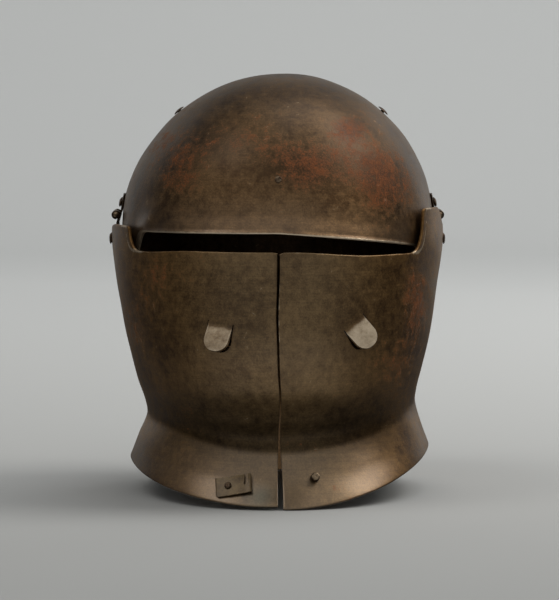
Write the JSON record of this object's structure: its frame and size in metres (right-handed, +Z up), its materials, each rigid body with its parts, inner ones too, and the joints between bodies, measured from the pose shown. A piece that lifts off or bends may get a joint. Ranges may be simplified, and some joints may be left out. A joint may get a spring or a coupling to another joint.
{
  "type": "knight helmet",
  "caption": "Closed steel knight's helmet: rounded skull with a nape tail, hinged cheek pieces that meet at the chin, a narrow sight, vent tongues and a flared collar.",
  "frame": {"origin": "middle of the base: centre of the bounding box in X and Y, at the height of the rim that it stands on", "axes": "+Z up; the face looks towards -Y; +X is the wearer's left"},
  "size_m": [0.2246, 0.2528, 0.278],
  "materials": {
    "steel": "satin dark brown russet steel",
    "iron": "satin dark brown wrought iron",
    "leather": "matt",
    "linen": "matt quilted linen"
  },
  "bodies": {
    "skull": {"skull": "steel", "hinge_upper_leaf_right": "iron", "hinge_upper_leaf_left": "iron", "hinge_pin_right": "iron", "hinge_pin_left": "iron", "hinge_upper_rivet_right_1": "iron", "hinge_upper_rivet_right_2": "iron", "hinge_upper_rivet_left_1": "iron", "hinge_upper_rivet_left_2": "iron", "lining_rivet_right": "iron", "lining_rivet_left": "iron", "lining_rivet_front": "iron", "lining_rivet_rear": "iron", "lining_strap_across": "leather", "lining_strap_front": "leather", "lining_strap_rear": "leather", "lining_cap": "linen"},
    "cheek_right": {"cheek_piece_right": "steel", "hinge_lower_leaf_right": "iron", "hinge_lower_rivet_right_1": "iron", "hinge_lower_rivet_right_2": "iron", "latch_plate": "iron", "latch_rivet": "iron"},
    "cheek_left": {"cheek_piece_left": "steel", "hinge_lower_leaf_left": "iron", "hinge_lower_rivet_left_1": "iron", "hinge_lower_rivet_left_2": "iron", "latch_stud": "iron"}
  },
  "joints": [
    {"name": "cheek_right_hinge", "type": "hinge", "parent": "skull", "child": "cheek_right", "pos_m": [-0.1074, 0.0004, 0.1842], "axis": [0, 1, 0], "range_deg": [0, 95]},
    {"name": "cheek_left_hinge", "type": "hinge", "parent": "skull", "child": "cheek_left", "pos_m": [0.1082, 0.0004, 0.1842], "axis": [0, -1, 0], "range_deg": [0, 95]}
  ]
}
